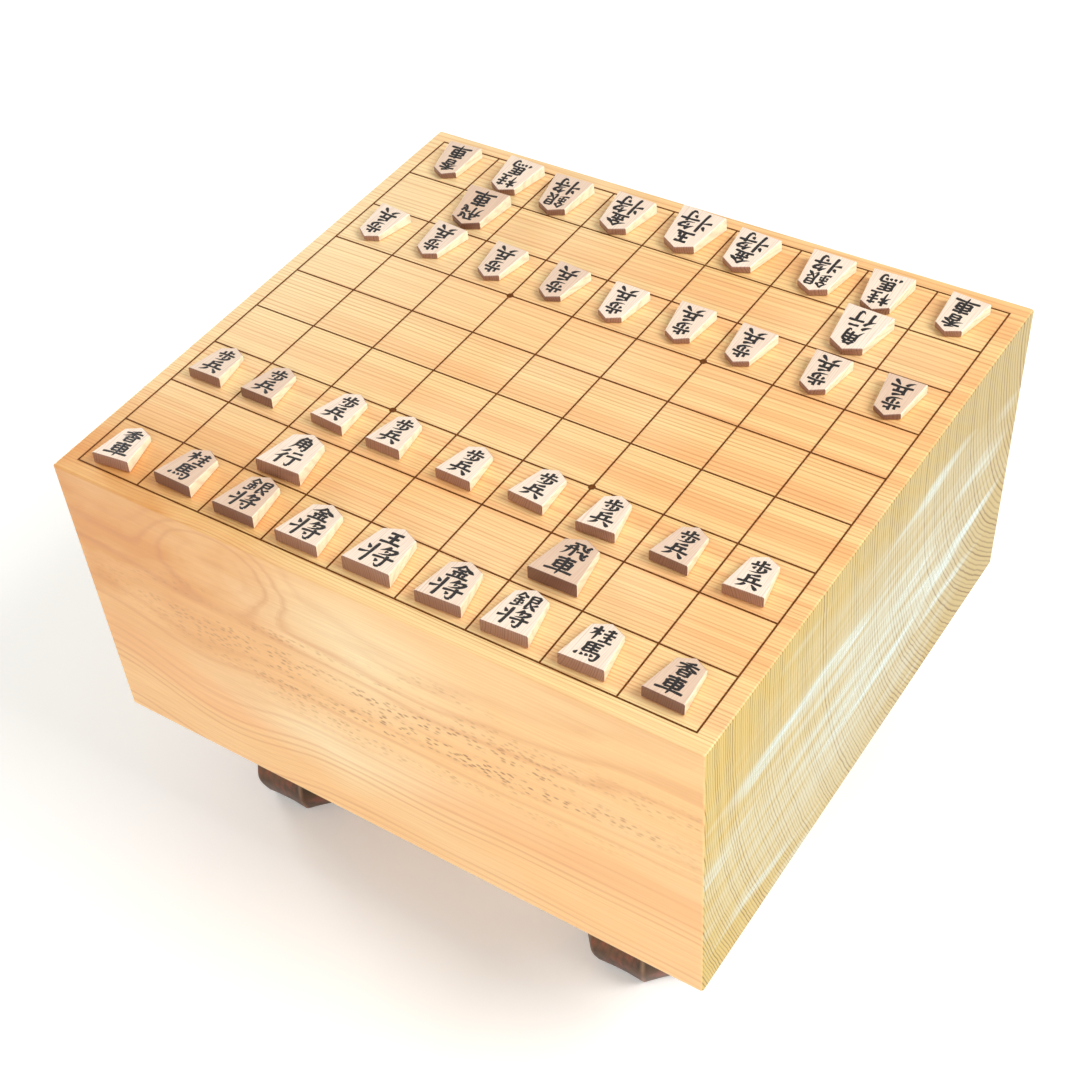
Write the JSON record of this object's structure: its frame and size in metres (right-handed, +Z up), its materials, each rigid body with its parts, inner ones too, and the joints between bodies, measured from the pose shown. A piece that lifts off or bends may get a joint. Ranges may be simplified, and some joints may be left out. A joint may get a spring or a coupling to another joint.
{
  "type": "shogi board",
  "caption": "Thick wooden shogi board on carved feet, with a lacquered grid on top and loose wedge-shaped playing pieces set out for a game.",
  "frame": {"origin": "on the floor, below the middle of the board", "axes": "+X along the board's long side with the grain, to the near player's right; +Y from the near player to the far one; +Z up"},
  "size_m": [0.3642, 0.3328, 0.2714],
  "materials": {
    "board_wood": "waxed",
    "lacquer": "gloss",
    "stained_wood": "stained satin",
    "piece_wood": "polished"
  },
  "bodies": {
    "board": {"board": "board_wood", "grid_lines": "lacquer", "foot_front_left": "stained_wood", "foot_front_right": "stained_wood", "foot_back_left": "stained_wood", "foot_back_right": "stained_wood"},
    "near_lance_1": {"near_lance_1": "piece_wood"},
    "near_knight_2": {"near_knight_2": "piece_wood"},
    "near_silver_3": {"near_silver_3": "piece_wood"},
    "near_gold_4": {"near_gold_4": "piece_wood"},
    "near_king_5": {"near_king_5": "piece_wood"},
    "near_gold_6": {"near_gold_6": "piece_wood"},
    "near_silver_7": {"near_silver_7": "piece_wood"},
    "near_knight_8": {"near_knight_8": "piece_wood"},
    "near_lance_9": {"near_lance_9": "piece_wood"},
    "near_bishop_3": {"near_bishop_3": "piece_wood"},
    "near_rook_7": {"near_rook_7": "piece_wood"},
    "near_pawn_1": {"near_pawn_1": "piece_wood"},
    "near_pawn_2": {"near_pawn_2": "piece_wood"},
    "near_pawn_3": {"near_pawn_3": "piece_wood"},
    "near_pawn_4": {"near_pawn_4": "piece_wood"},
    "near_pawn_5": {"near_pawn_5": "piece_wood"},
    "near_pawn_6": {"near_pawn_6": "piece_wood"},
    "near_pawn_7": {"near_pawn_7": "piece_wood"},
    "near_pawn_8": {"near_pawn_8": "piece_wood"},
    "near_pawn_9": {"near_pawn_9": "piece_wood"},
    "far_lance_1": {"far_lance_1": "piece_wood"},
    "far_knight_2": {"far_knight_2": "piece_wood"},
    "far_silver_3": {"far_silver_3": "piece_wood"},
    "far_gold_4": {"far_gold_4": "piece_wood"},
    "far_king_5": {"far_king_5": "piece_wood"},
    "far_gold_6": {"far_gold_6": "piece_wood"},
    "far_silver_7": {"far_silver_7": "piece_wood"},
    "far_knight_8": {"far_knight_8": "piece_wood"},
    "far_lance_9": {"far_lance_9": "piece_wood"},
    "far_rook_2": {"far_rook_2": "piece_wood"},
    "far_bishop_8": {"far_bishop_8": "piece_wood"},
    "far_pawn_1": {"far_pawn_1": "piece_wood"},
    "far_pawn_2": {"far_pawn_2": "piece_wood"},
    "far_pawn_3": {"far_pawn_3": "piece_wood"},
    "far_pawn_4": {"far_pawn_4": "piece_wood"},
    "far_pawn_5": {"far_pawn_5": "piece_wood"},
    "far_pawn_6": {"far_pawn_6": "piece_wood"},
    "far_pawn_7": {"far_pawn_7": "piece_wood"},
    "far_pawn_8": {"far_pawn_8": "piece_wood"},
    "far_pawn_9": {"far_pawn_9": "piece_wood"}
  },
  "joints": [
    {"name": "near_lance_1_lift", "type": "slide", "parent": "board", "child": "near_lance_1", "axis": [0, 0, 1], "range_m": [0, 0.05]},
    {"name": "near_knight_2_lift", "type": "slide", "parent": "board", "child": "near_knight_2", "axis": [0, 0, 1], "range_m": [0, 0.05]},
    {"name": "near_silver_3_lift", "type": "slide", "parent": "board", "child": "near_silver_3", "axis": [0, 0, 1], "range_m": [0, 0.05]},
    {"name": "near_gold_4_lift", "type": "slide", "parent": "board", "child": "near_gold_4", "axis": [0, 0, 1], "range_m": [0, 0.05]},
    {"name": "near_king_5_lift", "type": "slide", "parent": "board", "child": "near_king_5", "axis": [0, 0, 1], "range_m": [0, 0.05]},
    {"name": "near_gold_6_lift", "type": "slide", "parent": "board", "child": "near_gold_6", "axis": [0, 0, 1], "range_m": [0, 0.05]},
    {"name": "near_silver_7_lift", "type": "slide", "parent": "board", "child": "near_silver_7", "axis": [0, 0, 1], "range_m": [0, 0.05]},
    {"name": "near_knight_8_lift", "type": "slide", "parent": "board", "child": "near_knight_8", "axis": [0, 0, 1], "range_m": [0, 0.05]},
    {"name": "near_lance_9_lift", "type": "slide", "parent": "board", "child": "near_lance_9", "axis": [0, 0, 1], "range_m": [0, 0.05]},
    {"name": "near_bishop_3_lift", "type": "slide", "parent": "board", "child": "near_bishop_3", "axis": [0, 0, 1], "range_m": [0, 0.05]},
    {"name": "near_rook_7_lift", "type": "slide", "parent": "board", "child": "near_rook_7", "axis": [0, 0, 1], "range_m": [0, 0.05]},
    {"name": "near_pawn_1_lift", "type": "slide", "parent": "board", "child": "near_pawn_1", "axis": [0, 0, 1], "range_m": [0, 0.05]},
    {"name": "near_pawn_2_lift", "type": "slide", "parent": "board", "child": "near_pawn_2", "axis": [0, 0, 1], "range_m": [0, 0.05]},
    {"name": "near_pawn_3_lift", "type": "slide", "parent": "board", "child": "near_pawn_3", "axis": [0, 0, 1], "range_m": [0, 0.05]},
    {"name": "near_pawn_4_lift", "type": "slide", "parent": "board", "child": "near_pawn_4", "axis": [0, 0, 1], "range_m": [0, 0.05]},
    {"name": "near_pawn_5_lift", "type": "slide", "parent": "board", "child": "near_pawn_5", "axis": [0, 0, 1], "range_m": [0, 0.05]},
    {"name": "near_pawn_6_lift", "type": "slide", "parent": "board", "child": "near_pawn_6", "axis": [0, 0, 1], "range_m": [0, 0.05]},
    {"name": "near_pawn_7_lift", "type": "slide", "parent": "board", "child": "near_pawn_7", "axis": [0, 0, 1], "range_m": [0, 0.05]},
    {"name": "near_pawn_8_lift", "type": "slide", "parent": "board", "child": "near_pawn_8", "axis": [0, 0, 1], "range_m": [0, 0.05]},
    {"name": "near_pawn_9_lift", "type": "slide", "parent": "board", "child": "near_pawn_9", "axis": [0, 0, 1], "range_m": [0, 0.05]},
    {"name": "far_lance_1_lift", "type": "slide", "parent": "board", "child": "far_lance_1", "axis": [0, 0, 1], "range_m": [0, 0.05]},
    {"name": "far_knight_2_lift", "type": "slide", "parent": "board", "child": "far_knight_2", "axis": [0, 0, 1], "range_m": [0, 0.05]},
    {"name": "far_silver_3_lift", "type": "slide", "parent": "board", "child": "far_silver_3", "axis": [0, 0, 1], "range_m": [0, 0.05]},
    {"name": "far_gold_4_lift", "type": "slide", "parent": "board", "child": "far_gold_4", "axis": [0, 0, 1], "range_m": [0, 0.05]},
    {"name": "far_king_5_lift", "type": "slide", "parent": "board", "child": "far_king_5", "axis": [0, 0, 1], "range_m": [0, 0.05]},
    {"name": "far_gold_6_lift", "type": "slide", "parent": "board", "child": "far_gold_6", "axis": [0, 0, 1], "range_m": [0, 0.05]},
    {"name": "far_silver_7_lift", "type": "slide", "parent": "board", "child": "far_silver_7", "axis": [0, 0, 1], "range_m": [0, 0.05]},
    {"name": "far_knight_8_lift", "type": "slide", "parent": "board", "child": "far_knight_8", "axis": [0, 0, 1], "range_m": [0, 0.05]},
    {"name": "far_lance_9_lift", "type": "slide", "parent": "board", "child": "far_lance_9", "axis": [0, 0, 1], "range_m": [0, 0.05]},
    {"name": "far_rook_2_lift", "type": "slide", "parent": "board", "child": "far_rook_2", "axis": [0, 0, 1], "range_m": [0, 0.05]},
    {"name": "far_bishop_8_lift", "type": "slide", "parent": "board", "child": "far_bishop_8", "axis": [0, 0, 1], "range_m": [0, 0.05]},
    {"name": "far_pawn_1_lift", "type": "slide", "parent": "board", "child": "far_pawn_1", "axis": [0, 0, 1], "range_m": [0, 0.05]},
    {"name": "far_pawn_2_lift", "type": "slide", "parent": "board", "child": "far_pawn_2", "axis": [0, 0, 1], "range_m": [0, 0.05]},
    {"name": "far_pawn_3_lift", "type": "slide", "parent": "board", "child": "far_pawn_3", "axis": [0, 0, 1], "range_m": [0, 0.05]},
    {"name": "far_pawn_4_lift", "type": "slide", "parent": "board", "child": "far_pawn_4", "axis": [0, 0, 1], "range_m": [0, 0.05]},
    {"name": "far_pawn_5_lift", "type": "slide", "parent": "board", "child": "far_pawn_5", "axis": [0, 0, 1], "range_m": [0, 0.05]},
    {"name": "far_pawn_6_lift", "type": "slide", "parent": "board", "child": "far_pawn_6", "axis": [0, 0, 1], "range_m": [0, 0.05]},
    {"name": "far_pawn_7_lift", "type": "slide", "parent": "board", "child": "far_pawn_7", "axis": [0, 0, 1], "range_m": [0, 0.05]},
    {"name": "far_pawn_8_lift", "type": "slide", "parent": "board", "child": "far_pawn_8", "axis": [0, 0, 1], "range_m": [0, 0.05]},
    {"name": "far_pawn_9_lift", "type": "slide", "parent": "board", "child": "far_pawn_9", "axis": [0, 0, 1], "range_m": [0, 0.05]}
  ]
}
